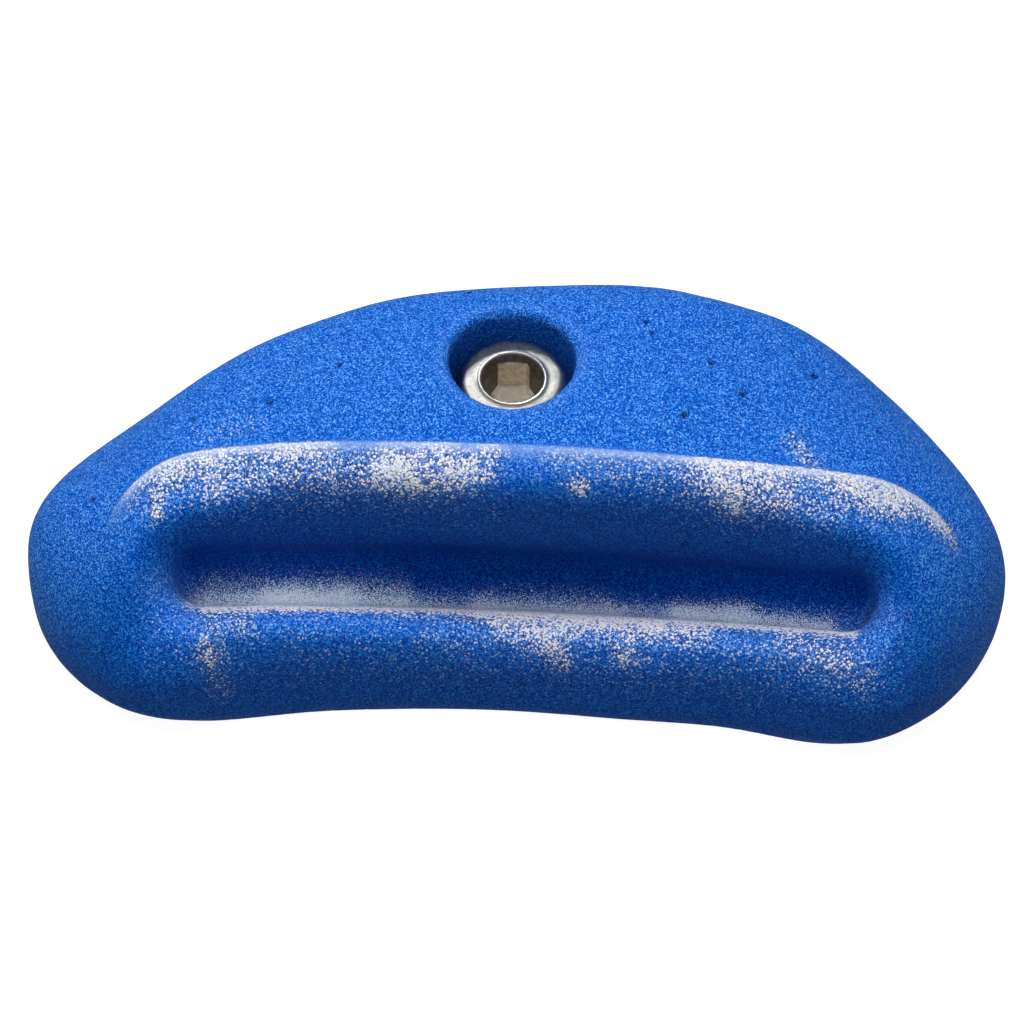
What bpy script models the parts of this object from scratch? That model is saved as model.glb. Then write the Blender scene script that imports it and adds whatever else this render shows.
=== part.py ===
"""Climbing hold: a cast resin jug, the steel load ring cast into its bolt recess, a loose washer and the screw.

The hold lies on its flat back at z = 0. +X runs along its length, +Z along the bolt, and the finger
pocket opens towards -Y. The origin is the middle of the hold's footprint. Dimensions are in
millimetres, and become metres when the meshes are made. The body's outlines and the pocket are measured
from MIDDLE and SHAPE_Y, the turned pieces from the bolt's axis.
"""

import math

import bmesh
import bpy
import numpy as np
from mathutils import Matrix

MM = 0.001

# where the bolt's axis and the zero of the body's outlines stand, from the middle of the footprint
BOLT_X, BOLT_Y = -1.1, 7.5
SHAPE_Y = 6.0

# hold body: half its length, and the middle of it in the outlines' own x
HALF_LENGTH = 70.1
MIDDLE = 1.05

# outlines at equal steps of 15 degrees along the length, where x = MIDDLE + HALF_LENGTH * sin(angle):
# the lip, the wall above the pocket, the back, the top, and the height that the lip is shared from
STEP_ANGLES = np.radians(np.linspace(-90, 90, 13))
FRONT_EDGE = (-13.0, -22.5, -30.8, -36.0, -32.7, -30.5, -29.9, -30.7, -32.0, -35.5, -29.4, -20.0, -11.5)
BROW = (-13.0, -22.5, -31.0, -34.0, -26.8, -28.4, -30.2, -29.4, -29.0, -34.0, -29.8, -20.0, -11.5)
BACK_EDGE = (-13.0, -2.0, 5.5, 11.5, 16.0, 20.5, 23.0, 24.2, 21.7, 18.6, 10.0, -1.5, -11.5)
CROWN = (12.0, 19.5, 26.5, 33.9, 38.0, 42.8, 44.0, 43.5, 40.7, 35.8, 28.9, 21.0, 12.0)
SHOULDER = (12.0, 19.5, 27.0, 37.5, 50.0, 47.5, 45.0, 45.5, 49.0, 41.0, 29.5, 21.0, 12.0)
TIP_LIFT = (12.0, 3.2, 0.0, 0.0, 0.0, 0.0, 0.0, 0.0, 0.0, 0.0, 0.0, 3.2, 12.0)

# cross sections before the pocket is cut: (share of the depth front to back, share of the height)
MID_SECTION = (
    (0.017, 0.0), (0.004, 0.045), (0.0, 0.136), (0.002, 0.239), (0.019, 0.318), (0.057, 0.377),
    (0.103, 0.423), (0.145, 0.489), (0.169, 0.591), (0.176, 0.70), (0.180, 0.795), (0.188, 0.868),
    (0.212, 0.922), (0.262, 0.951), (0.40, 0.983), (0.566, 0.990), (0.730, 0.963), (0.861, 0.920),
    (0.951, 0.785), (0.983, 0.5), (0.996, 0.227), (1.0, 0.0),
)
END_SECTION = (
    (0.09, 0.0), (0.035, 0.085), (0.008, 0.20), (0.0, 0.31), (0.012, 0.41), (0.035, 0.51),
    (0.065, 0.60), (0.10, 0.68), (0.135, 0.747), (0.17, 0.80), (0.205, 0.845), (0.245, 0.888),
    (0.295, 0.93), (0.365, 0.97), (0.45, 1.0), (0.55, 1.0), (0.66, 0.96), (0.77, 0.87),
    (0.87, 0.70), (0.945, 0.46), (0.985, 0.21), (1.0, 0.0),
)

# finger pocket: a slot sunk into the front at an angle, with a rounded rim and a sloping floor
POCKET_TILT = math.radians(60)
POCKET_LEFT, POCKET_RIGHT = -42.5, 48.0
POCKET_LEVEL = -7.4
POCKET_BOW = 0.00075
POCKET_HALF = 3.8
POCKET_DEPTH = 12.6
POCKET_FLOOR_SLOPE = 0.5
POCKET_DRAFT = 0.05
POCKET_RIM, POCKET_FILLET = 5.6, 3.4

# low step where the roll stands above the dome: its distance from the pocket at places along the length
CREST_PLACES = (-56.0, -51.0, -42.0, -34.0, -16.0, 6.0, 26.0, 47.0, 54.0, 61.0)
CREST_REACH = (14.7, 15.4, 16.4, 16.9, 16.6, 16.2, 15.6, 15.7, 16.2, 17.2)
CREST_RISE, CREST_DROP, CREST_WIDE = 0.85, 0.6, 1.2

# bolt recess and bore; the rim leans with the crown around it and dips a little at the front and back
RECESS_RADIUS = 8.85
RIM_Z, RIM_RADIUS = 42.8, 1.5
RIM_LEAN_X, RIM_LEAN_Y, RIM_DIP = 0.019, -0.062, 0.0034
SEAT_Z = 10.0
BORE_RADIUS = 5.6

# load ring, washer and the gap that neighbouring pieces keep
GAP = 0.3
RING_OUTER, RING_INNER, RING_THICK = 11.0, 5.5, 2.5
WASHER_OUTER, WASHER_INNER, WASHER_THICK = 8.5, 5.25, 1.6

# M10 x 28 socket head cap screw, its tip level with the hold's back
SHANK_RADIUS, SHANK_LENGTH, TIP_CHAMFER = 4.95, 28.0, 1.05
HEAD_RADIUS, HEAD_HEIGHT = 8.0, 10.0
HEAD_EDGE_WIDE, HEAD_EDGE_HIGH = 1.5, 1.8
SOCKET_FLATS, SOCKET_DEPTH = 7.1, 6.0
SOCKET_CHAMFER_RADIUS = 4.68
SOCKET_TURN = math.radians(2.8)


# --- curves ---------------------------------------------------------------------------------------

def spline(knots, values, at):
    """Natural cubic spline through the values, which may have several columns."""
    t, v = np.asarray(knots, float), np.asarray(values, float)
    at = np.atleast_1d(np.asarray(at, float))
    n, h = len(t), np.diff(t)
    rows = v.reshape(n, -1)
    system, right = np.zeros((n, n)), np.zeros((n, rows.shape[1]))
    system[0, 0] = system[-1, -1] = 1
    for i in range(1, n - 1):
        system[i, i - 1], system[i, i], system[i, i + 1] = h[i - 1], 2 * (h[i - 1] + h[i]), h[i]
        right[i] = 6 * ((rows[i + 1] - rows[i]) / h[i] - (rows[i] - rows[i - 1]) / h[i - 1])
    bend = np.linalg.solve(system, right)
    k = np.clip(np.searchsorted(t, at) - 1, 0, n - 2)
    d, hk = (at - t[k])[:, None], h[k][:, None]
    slope = (rows[k + 1] - rows[k]) / hk - hk * (2 * bend[k] + bend[k + 1]) / 6
    found = rows[k] + slope * d + bend[k] / 2 * d**2 + (bend[k + 1] - bend[k]) / (6 * hk) * d**3
    return found.reshape((len(at),) + v.shape[1:])


def smooth(t):
    t = np.clip(t, 0, 1)
    return t * t * t * (t * (6 * t - 15) + 10)


def round_max(a, b, radius):
    """The larger of two distances, with the corner between them rounded."""
    both = np.sqrt(np.maximum(a + radius, 0) ** 2 + np.maximum(b + radius, 0) ** 2) - radius
    return np.where((a > -radius) & (b > -radius), both, np.maximum(a, b))


# --- hold body ------------------------------------------------------------------------------------

def section_knots():
    depth = BACK_EDGE[6] - FRONT_EDGE[6]
    points = np.array(MID_SECTION) * (depth, CROWN[6])
    return np.concatenate([[0], np.cumsum(np.linalg.norm(np.diff(points, axis=0), axis=1))])


def blank_section(x, at, knots):
    """(y, z) of the section at x, before the pocket."""
    angle = math.asin(min(max((x - MIDDLE) / HALF_LENGTH, -1), 1))
    lip, brow, back, crown, shoulder, lift = (
        float(spline(STEP_ANGLES, row, angle)[0])
        for row in (FRONT_EDGE, BROW, BACK_EDGE, CROWN, SHOULDER, TIP_LIFT)
    )
    lift = 0.0 if abs(angle) < STEP_ANGLES[10] else max(lift, 0.0)
    middle = smooth((61.5 - abs(x - 2)) / 31)
    share = np.array(END_SECTION) * (1 - middle) + np.array(MID_SECTION) * middle
    front = lip + (brow - lip) * smooth((share[:, 1] - 0.38) / 0.25)
    top = shoulder + (crown - shoulder) * smooth((share[:, 1] - 0.40) / 0.42)
    points = np.column_stack([front + (back - front) * share[:, 0], lift + (top - lift) * share[:, 1]])
    return spline(knots, points, at)


def from_pocket_line(x, v):
    """Offsets from the pocket's mid line, along the hold and across the pocket."""
    along = np.clip(x, POCKET_LEFT, POCKET_RIGHT)
    return x - along, v - (POCKET_LEVEL - POCKET_BOW * (along - 2) ** 2)


def across(yz):
    return yz[:, 0] * math.sin(POCKET_TILT) + yz[:, 1] * math.cos(POCKET_TILT)


def out_of(yz):
    return -yz[:, 0] * math.cos(POCKET_TILT) + yz[:, 1] * math.sin(POCKET_TILT)


def crest_reach(x):
    place = min(max(x, CREST_PLACES[0]), CREST_PLACES[-1])
    return float(spline(CREST_PLACES, CREST_REACH, place)[0])


def with_crest(x, yz):
    du, dv = from_pocket_line(x, across(yz))
    past = np.hypot(du, dv * 0.98) - crest_reach(x)
    share = smooth((np.degrees(np.arctan2(dv, abs(du))) - 10) / 45) * smooth((yz[:, 1] - 8) / 10)
    up = smooth((CREST_WIDE - past) / (2 * CREST_WIDE))
    inner, outer = np.maximum(-past, 0), np.maximum(past, 0)
    raised = yz.copy()
    raised[:, 1] += share * (
        CREST_RISE * up * (1 + inner / 1.7) * np.exp(-inner / 2.5)
        - CREST_DROP * (1 - up) * np.exp(-outer / 3.5)
    )
    return raised


def with_pocket(x, yz):
    """The section with the pocket sunk into it: each point slides in along the pocket's direction."""
    v, height = across(yz), out_of(yz)
    du, dv = from_pocket_line(x, v)
    level = (v - dv)[0]
    turn = int(np.argmax(v))
    order = np.argsort(v[: turn + 1])
    mouth = float(np.interp(level, v[: turn + 1][order], height[: turn + 1][order]))
    side = np.hypot(du, dv) - POCKET_HALF
    floor = mouth - POCKET_DEPTH + POCKET_FLOOR_SLOPE * dv

    def outside(w):
        wall = -(side - POCKET_DRAFT * (w - floor))
        cut = -round_max(-wall, -(w - floor) * 0.9, POCKET_FILLET)
        return round_max((w - height) * 0.85, cut, POCKET_RIM)

    low, high = height - 30.0, height + 1.0
    for _ in range(44):
        half = (low + high) / 2
        inside = outside(half) < 0
        low, high = np.where(inside, half, low), np.where(inside, high, half)
    w = np.where(np.arange(len(v)) <= turn, np.minimum((low + high) / 2, height), height)
    s, c = math.sin(POCKET_TILT), math.cos(POCKET_TILT)
    return np.column_stack([v * s - w * c, v * c + w * s])


def stations(ends, slot_ends, middle):
    """Positions along the length, closer together at the tips and at the pocket's ends."""
    left, right = ((edge - MIDDLE) / HALF_LENGTH for edge in (-55, 59))
    runs = (
        MIDDLE + HALF_LENGTH * np.sin(np.linspace(-math.pi / 2, math.asin(left), ends)),
        np.linspace(-55, -34, slot_ends)[1:],
        np.linspace(-34, 38, middle)[1:],
        np.linspace(38, 59, slot_ends)[1:],
        (MIDDLE + HALF_LENGTH * np.sin(np.linspace(math.asin(right), math.pi / 2, ends)))[1:],
    )
    return np.concatenate(runs)


def section(x, counts, fine=900):
    """Points of the finished section at x: the lip, the pocket and roll, then the dome and back."""
    knots = section_knots()
    at = np.linspace(0, knots[-1], fine)
    blank = blank_section(x, at, knots)
    v = across(blank)
    du, dv = from_pocket_line(x, v)
    level, gap = (v - dv)[0], abs(du)
    turn = int(np.argmax(v)) + 1
    lip = np.interp(level - math.sqrt(max(121.0 - min(gap, 9.0) ** 2, 0)), v[:turn], at[:turn])
    ridge = level + math.sqrt(max(crest_reach(x) ** 2 - min(gap, 13.0) ** 2, 0)) / 0.98
    ridge = np.interp(ridge, v[:turn], at[:turn])
    away = smooth((gap - 6) / 14)
    marks = (lip + (at[-1] * 0.155 - lip) * away, ridge + (at[-1] * 0.40 - ridge) * away)
    yz = with_pocket(x, with_crest(x, blank))
    yz[:, 1] = np.maximum(yz[:, 1], 0)
    run = np.concatenate([[0], np.cumsum(np.linalg.norm(np.diff(yz, axis=0), axis=1))])
    ends = [0.0, *(float(np.interp(mark, at, run)) for mark in marks), run[-1]]
    pick = np.concatenate(
        [np.linspace(ends[i], ends[i + 1], counts[i] + 1)[(i > 0) :] for i in range(3)]
    )
    return np.column_stack([np.interp(pick, run, yz[:, 0]), np.interp(pick, run, yz[:, 1])])


def hold_mesh():
    """Closed body: one ring of points per station, a flat back and a point at each tip."""
    mesh = bmesh.new()
    places = stations(12, 14, 16)
    tips = []
    for x, angle in ((places[0], -1), (places[-1], 1)):
        y = FRONT_EDGE[0] if angle < 0 else FRONT_EDGE[-1]
        tips.append(mesh.verts.new((x - MIDDLE, y + SHAPE_Y, CROWN[0])))
    rings = []
    for x in places[1:-1]:
        yz = section(float(x), (6, 25, 15))
        rings.append([mesh.verts.new((x - MIDDLE, y + SHAPE_Y, z)) for y, z in yz])
    count = len(rings[0])
    for near, far in zip(rings, rings[1:]):
        for j in range(count):
            k = (j + 1) % count
            mesh.faces.new((near[j], far[j], far[k], near[k]))
    for j in range(count):
        k = (j + 1) % count
        mesh.faces.new((tips[0], rings[0][j], rings[0][k]))
        mesh.faces.new((tips[1], rings[-1][k], rings[-1][j]))
    bmesh.ops.triangulate(mesh, faces=mesh.faces[:], quad_method="SHORT_EDGE")
    return mesh


# --- turned pieces --------------------------------------------------------------------------------

def turned(profile, segments):
    """Closed body turned about the bolt's axis from (radius, height) points, bottom to top outside."""
    mesh = bmesh.new()
    columns = []
    for radius, z in profile:
        if radius < 1e-6:
            columns.append([mesh.verts.new((0, 0, z))])
            continue
        columns.append(
            [
                mesh.verts.new((radius * math.cos(2 * math.pi * i / segments), radius * math.sin(2 * math.pi * i / segments), z))
                for i in range(segments)
            ]
        )
    pairs = list(zip(columns, columns[1:]))
    if profile[0][0] > 1e-6:
        pairs.append((columns[-1], columns[0]))
    for low, high in pairs:
        for i in range(segments):
            k = (i + 1) % segments
            corners = [low[i % len(low)], low[k % len(low)], high[k % len(high)], high[i % len(high)]]
            unique = list(dict.fromkeys(corners))
            if len(unique) > 2:
                mesh.faces.new(unique)
    return mesh


def arc(centre_r, centre_z, wide, high, start, end, steps):
    angles = np.radians(np.linspace(start, end, steps + 1))
    return [(centre_r + wide * math.cos(a), centre_z + high * math.sin(a)) for a in angles]


def ring_profile(inner, outer, bottom, thick, chamfer):
    top = bottom + thick
    return [
        (inner, bottom), (outer - chamfer, bottom), (outer, bottom + chamfer),
        (outer, top - chamfer), (outer - chamfer, top), (inner, top),
    ]


# --- objects --------------------------------------------------------------------------------------

def clear_scene():
    for thing in list(bpy.data.objects):
        bpy.data.objects.remove(thing, do_unlink=True)


def material(name, colour, roughness, metallic):
    made = bpy.data.materials.new(name)
    made.use_nodes = True
    shader = made.node_tree.nodes["Principled BSDF"]
    shader.inputs["Base Color"].default_value = (*colour, 1.0)
    shader.inputs["Roughness"].default_value = roughness
    shader.inputs["Metallic"].default_value = metallic
    made.diffuse_color = (*colour, 1.0)
    return made


def add(name, mesh, made_of, parent=None, at=(0.0, 0.0, 0.0)):
    """Object from a mesh in millimetres, whose points are measured from the object's own origin."""
    bmesh.ops.scale(mesh, vec=(MM, MM, MM), verts=mesh.verts)
    data = bpy.data.meshes.new(name)
    mesh.to_mesh(data)
    mesh.free()
    thing = bpy.data.objects.new(name, data)
    bpy.context.scene.collection.objects.link(thing)
    thing.location = at
    if made_of:
        data.materials.append(made_of)
    data.shade_smooth()
    data.set_sharp_from_angle(angle=math.radians(38))
    thing.parent = parent
    return thing


def axis_empty(name, at, parent=None):
    empty = bpy.data.objects.new(name, None)
    empty.empty_display_size = 0.01
    bpy.context.scene.collection.objects.link(empty)
    empty.location = at
    empty.parent = parent
    return empty


def cut(thing, name, mesh, parent=None, at=(0.0, 0.0, 0.0)):
    cutter = add(name, mesh, None, parent, at)
    cutter.hide_render = True
    cutter.display_type = "WIRE"
    modifier = thing.modifiers.new(name, "BOOLEAN")
    modifier.operation = "DIFFERENCE"
    modifier.solver = "EXACT"
    modifier.object = cutter


def recess_cutter():
    """Recess with its flared rim, the groove that holds the load ring, and the bore, in one turned body."""
    centre = RECESS_RADIUS + RIM_RADIUS
    flare = [
        (centre - RIM_RADIUS * math.cos(a), RIM_Z - RIM_RADIUS + 0.05 + RIM_RADIUS * math.sin(a))
        for a in np.radians(np.linspace(0, 62, 6))
    ]
    end_r, end_z = flare[-1]
    reach = 6.0
    groove_low = SEAT_Z - RING_THICK - GAP
    mesh = turned(
        [
            (0.0, -3.0), (BORE_RADIUS, -3.0), (BORE_RADIUS, groove_low),
            (RING_OUTER + GAP, groove_low), (RING_OUTER + GAP, SEAT_Z + GAP),
            (RECESS_RADIUS, SEAT_Z + GAP), *flare,
            (end_r + reach * math.sin(math.radians(62)), end_z + reach * math.cos(math.radians(62))),
            (end_r + reach, RIM_Z + 12.0), (0.0, RIM_Z + 12.0),
        ],
        48,
    )
    for vertex in mesh.verts:
        if vertex.co.z > RIM_Z - RIM_RADIUS:
            x, y = vertex.co.x, vertex.co.y
            vertex.co.z += RIM_LEAN_X * x + RIM_LEAN_Y * y + RIM_DIP * (x * x - y * y)
    bmesh.ops.triangulate(mesh, faces=mesh.faces[:])
    return mesh


def screw_mesh():
    top = SHANK_LENGTH + HEAD_HEIGHT
    edge = arc(HEAD_RADIUS - HEAD_EDGE_WIDE, top - HEAD_EDGE_HIGH, HEAD_EDGE_WIDE, HEAD_EDGE_HIGH, 0, 90, 5)
    return turned(
        [
            (0.0, 0.0), (SHANK_RADIUS - TIP_CHAMFER, 0.0), (SHANK_RADIUS, TIP_CHAMFER),
            (SHANK_RADIUS, SHANK_LENGTH - 0.5), (SHANK_RADIUS + 0.3, SHANK_LENGTH),
            (HEAD_RADIUS - 0.4, SHANK_LENGTH), (HEAD_RADIUS, SHANK_LENGTH + 0.4), *edge, (0.0, top),
        ],
        48,
    )


def socket_cutter():
    """Hexagon that becomes a cone at its mouth."""
    mesh = bmesh.new()
    corner = SOCKET_FLATS / math.sqrt(3)
    top = SHANK_LENGTH + HEAD_HEIGHT
    low, high = (
        [
            mesh.verts.new((corner * math.cos(SOCKET_TURN + i * math.pi / 3), corner * math.sin(SOCKET_TURN + i * math.pi / 3), z))
            for i in range(6)
        ]
        for z in (top - SOCKET_DEPTH, top + 3.0)
    )
    mesh.faces.new(low[::-1])
    mesh.faces.new(high)
    for i in range(6):
        k = (i + 1) % 6
        mesh.faces.new((low[i], low[k], high[k], high[i]))
    return mesh


def mouth_cutter():
    """Cone that chamfers the socket's mouth, steeper than the hexagon's corners are wide."""
    top = SHANK_LENGTH + HEAD_HEIGHT
    drop = SOCKET_CHAMFER_RADIUS - 2.4
    return turned(
        [
            (0.0, top - drop), (SOCKET_CHAMFER_RADIUS, top), (SOCKET_CHAMFER_RADIUS + 2.0, top + 2.0),
            (0.0, top + 2.0),
        ],
        48,
    )


def main():
    clear_scene()
    resin = material("resin_blue", (0.020, 0.175, 0.520), 0.62, 0.0)
    zinc = material("load_ring_steel", (0.50, 0.50, 0.49), 0.42, 1.0)
    washer_steel = material("washer_steel", (0.60, 0.60, 0.60), 0.30, 1.0)
    bright = material("screw_stainless", (0.68, 0.67, 0.65), 0.22, 1.0)

    bolt_at = (BOLT_X * MM, BOLT_Y * MM, 0.0)
    hold = add("hold_body", hold_mesh(), resin)
    cut(hold, "recess_cutter", recess_cutter(), None, bolt_at)

    add(
        "seat_ring",
        turned(ring_profile(RING_INNER, RING_OUTER, SEAT_Z - RING_THICK, RING_THICK, 0.3), 48),
        zinc, None, bolt_at,
    )

    turn_axis = axis_empty("washer_turn_axis", bolt_at)
    add(
        "flat_washer",
        turned(ring_profile(WASHER_INNER, WASHER_OUTER, SEAT_Z + GAP, WASHER_THICK, 0.2), 48),
        washer_steel, turn_axis,
    )

    slide_axis = axis_empty("bolt_slide_axis", (0.0, 0.0, 0.0), turn_axis)
    screw = add("mounting_bolt", screw_mesh(), bright, slide_axis)
    cut(screw, "mouth_cutter", mouth_cutter(), slide_axis)
    cut(screw, "socket_cutter", socket_cutter(), slide_axis)


main()
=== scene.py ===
import math

import bmesh
import bpy
import numpy as np
from mathutils import Matrix, Vector, kdtree, noise


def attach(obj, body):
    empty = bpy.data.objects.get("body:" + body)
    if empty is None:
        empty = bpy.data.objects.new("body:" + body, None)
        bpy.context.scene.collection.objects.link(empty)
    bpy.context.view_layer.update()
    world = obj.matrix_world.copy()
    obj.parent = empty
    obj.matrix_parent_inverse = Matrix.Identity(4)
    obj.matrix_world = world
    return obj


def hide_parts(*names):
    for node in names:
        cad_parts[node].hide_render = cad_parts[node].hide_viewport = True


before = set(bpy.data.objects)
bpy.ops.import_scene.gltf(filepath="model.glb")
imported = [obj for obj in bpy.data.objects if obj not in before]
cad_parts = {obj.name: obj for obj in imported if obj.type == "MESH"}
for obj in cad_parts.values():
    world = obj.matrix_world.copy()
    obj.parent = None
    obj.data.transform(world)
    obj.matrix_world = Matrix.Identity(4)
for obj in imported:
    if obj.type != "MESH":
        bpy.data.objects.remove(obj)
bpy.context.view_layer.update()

MM = 0.001

# --------------------------------------------------------------------------------------------------
# The hold's shape in millimetres, as in the construction model.
# --------------------------------------------------------------------------------------------------
BOLT_X, BOLT_Y = -1.1, 7.5
SHAPE_Y = 6.0
HALF_LENGTH, MIDDLE = 70.1, 1.05
STEP_ANGLES = np.radians(np.linspace(-90, 90, 13))
FRONT_EDGE = (-13.0, -22.5, -30.8, -36.0, -32.7, -30.5, -29.9, -30.7, -32.0, -35.5, -29.4, -20.0, -11.5)
BROW = (-13.0, -22.5, -31.0, -34.0, -26.8, -28.4, -30.2, -29.4, -29.0, -34.0, -29.8, -20.0, -11.5)
BACK_EDGE = (-13.0, -2.0, 5.5, 11.5, 16.0, 20.5, 23.0, 24.2, 21.7, 18.6, 10.0, -1.5, -11.5)
CROWN = (12.0, 19.5, 26.5, 33.9, 38.0, 42.8, 44.0, 43.5, 40.7, 35.8, 28.9, 21.0, 12.0)
SHOULDER = (12.0, 19.5, 27.0, 37.5, 50.0, 47.5, 45.0, 45.5, 49.0, 41.0, 29.5, 21.0, 12.0)
TIP_LIFT = (12.0, 3.2, 0.0, 0.0, 0.0, 0.0, 0.0, 0.0, 0.0, 0.0, 0.0, 3.2, 12.0)
MID_SECTION = (
    (0.017, 0.0), (0.004, 0.045), (0.0, 0.136), (0.002, 0.239), (0.019, 0.318), (0.057, 0.377),
    (0.103, 0.423), (0.145, 0.489), (0.169, 0.591), (0.176, 0.70), (0.180, 0.795), (0.188, 0.868),
    (0.212, 0.922), (0.262, 0.951), (0.40, 0.983), (0.566, 0.990), (0.730, 0.963), (0.861, 0.920),
    (0.951, 0.785), (0.983, 0.5), (0.996, 0.227), (1.0, 0.0),
)
END_SECTION = (
    (0.09, 0.0), (0.035, 0.085), (0.008, 0.20), (0.0, 0.31), (0.012, 0.41), (0.035, 0.51),
    (0.065, 0.60), (0.10, 0.68), (0.135, 0.747), (0.17, 0.80), (0.205, 0.845), (0.245, 0.888),
    (0.295, 0.93), (0.365, 0.97), (0.45, 1.0), (0.55, 1.0), (0.66, 0.96), (0.77, 0.87),
    (0.87, 0.70), (0.945, 0.46), (0.985, 0.21), (1.0, 0.0),
)
POCKET_TILT = math.radians(60)
POCKET_LEFT, POCKET_RIGHT = -42.5, 48.0
POCKET_LEVEL, POCKET_BOW, POCKET_HALF = -7.4, 0.00075, 3.8
POCKET_DEPTH, POCKET_FLOOR_SLOPE, POCKET_DRAFT = 12.6, 0.5, 0.05
POCKET_RIM, POCKET_FILLET = 5.6, 3.4
CREST_PLACES = (-56.0, -51.0, -42.0, -34.0, -16.0, 6.0, 26.0, 47.0, 54.0, 61.0)
CREST_REACH = (14.7, 15.4, 16.4, 16.9, 16.6, 16.45, 16.35, 16.5, 16.7, 17.3)
CREST_RISE, CREST_DROP, CREST_WIDE = 0.85, 0.6, 1.2
RECESS_RADIUS, RIM_Z, RIM_RADIUS = 8.85, 42.8, 1.5
RIM_LEAN_X, RIM_LEAN_Y, RIM_DIP = 0.019, -0.062, 0.0034
SEAT_Z, BORE_RADIUS, GAP = 10.0, 5.6, 0.3
RING_OUTER, RING_INNER, RING_THICK = 11.0, 5.5, 2.5
WASHER_OUTER, WASHER_INNER, WASHER_THICK = 8.5, 5.25, 1.6
SHANK_RADIUS, SHANK_LENGTH, TIP_CHAMFER = 4.95, 28.0, 1.05
HEAD_RADIUS, HEAD_HEIGHT = 8.0, 10.0
HEAD_EDGE_WIDE, HEAD_EDGE_HIGH = 1.5, 1.8
SOCKET_FLATS, SOCKET_DEPTH, SOCKET_CHAMFER_RADIUS = 7.1, 6.0, 4.68
SOCKET_TURN = math.radians(2.8)
THREAD_PITCH, THREAD_DEPTH = 1.5, 0.92

VOXEL = 0.45


def spline(knots, values, at):
    """Natural cubic spline through the values, which may have several columns."""
    t, v = np.asarray(knots, float), np.asarray(values, float)
    at = np.atleast_1d(np.asarray(at, float))
    n, h = len(t), np.diff(t)
    rows = v.reshape(n, -1)
    system, right = np.zeros((n, n)), np.zeros((n, rows.shape[1]))
    system[0, 0] = system[-1, -1] = 1
    for i in range(1, n - 1):
        system[i, i - 1], system[i, i], system[i, i + 1] = h[i - 1], 2 * (h[i - 1] + h[i]), h[i]
        right[i] = 6 * ((rows[i + 1] - rows[i]) / h[i] - (rows[i] - rows[i - 1]) / h[i - 1])
    bend = np.linalg.solve(system, right)
    k = np.clip(np.searchsorted(t, at) - 1, 0, n - 2)
    d, hk = (at - t[k])[:, None], h[k][:, None]
    slope = (rows[k + 1] - rows[k]) / hk - hk * (2 * bend[k] + bend[k + 1]) / 6
    found = rows[k] + slope * d + bend[k] / 2 * d**2 + (bend[k + 1] - bend[k]) / (6 * hk) * d**3
    return found.reshape((len(at),) + v.shape[1:])


def smooth(t):
    t = np.clip(t, 0, 1)
    return t * t * t * (t * (6 * t - 15) + 10)


def round_max(a, b, radius):
    both = np.sqrt(np.maximum(a + radius, 0) ** 2 + np.maximum(b + radius, 0) ** 2) - radius
    return np.where((a > -radius) & (b > -radius), both, np.maximum(a, b))


def section_knots():
    points = np.array(MID_SECTION) * (BACK_EDGE[6] - FRONT_EDGE[6], CROWN[6])
    return np.concatenate([[0], np.cumsum(np.linalg.norm(np.diff(points, axis=0), axis=1))])


def blank_section(x, at, knots):
    angle = math.asin(min(max((x - MIDDLE) / HALF_LENGTH, -1), 1))
    lip, brow, back, crown, shoulder, lift = (
        float(spline(STEP_ANGLES, row, angle)[0])
        for row in (FRONT_EDGE, BROW, BACK_EDGE, CROWN, SHOULDER, TIP_LIFT)
    )
    lift = 0.0 if abs(angle) < STEP_ANGLES[10] else max(lift, 0.0)
    middle = smooth((61.5 - abs(x - 2)) / 31)
    share = np.array(END_SECTION) * (1 - middle) + np.array(MID_SECTION) * middle
    front = lip + (brow - lip) * smooth((share[:, 1] - 0.38) / 0.25)
    top = shoulder + (crown - shoulder) * smooth((share[:, 1] - 0.40) / 0.42)
    points = np.column_stack([front + (back - front) * share[:, 0], lift + (top - lift) * share[:, 1]])
    return spline(knots, points, at)


def from_pocket_line(x, v):
    along = np.clip(x, POCKET_LEFT, POCKET_RIGHT)
    return x - along, v - (POCKET_LEVEL - POCKET_BOW * (along - 2) ** 2)


def across(yz):
    return yz[:, 0] * math.sin(POCKET_TILT) + yz[:, 1] * math.cos(POCKET_TILT)


def out_of(yz):
    return -yz[:, 0] * math.cos(POCKET_TILT) + yz[:, 1] * math.sin(POCKET_TILT)


def crest_reach(x):
    place = min(max(x, CREST_PLACES[0]), CREST_PLACES[-1])
    return float(spline(CREST_PLACES, CREST_REACH, place)[0])


def with_crest(x, yz):
    du, dv = from_pocket_line(x, across(yz))
    past = np.hypot(du, dv * 0.98) - crest_reach(x)
    share = smooth((np.degrees(np.arctan2(dv, abs(du))) - 10) / 45) * smooth((yz[:, 1] - 8) / 10)
    up = smooth((CREST_WIDE - past) / (2 * CREST_WIDE))
    inner, outer = np.maximum(-past, 0), np.maximum(past, 0)
    raised = yz.copy()
    raised[:, 1] += share * (
        CREST_RISE * up * (1 + inner / 1.7) * np.exp(-inner / 2.5)
        - CREST_DROP * (1 - up) * np.exp(-outer / 3.5)
    )
    return raised


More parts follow.
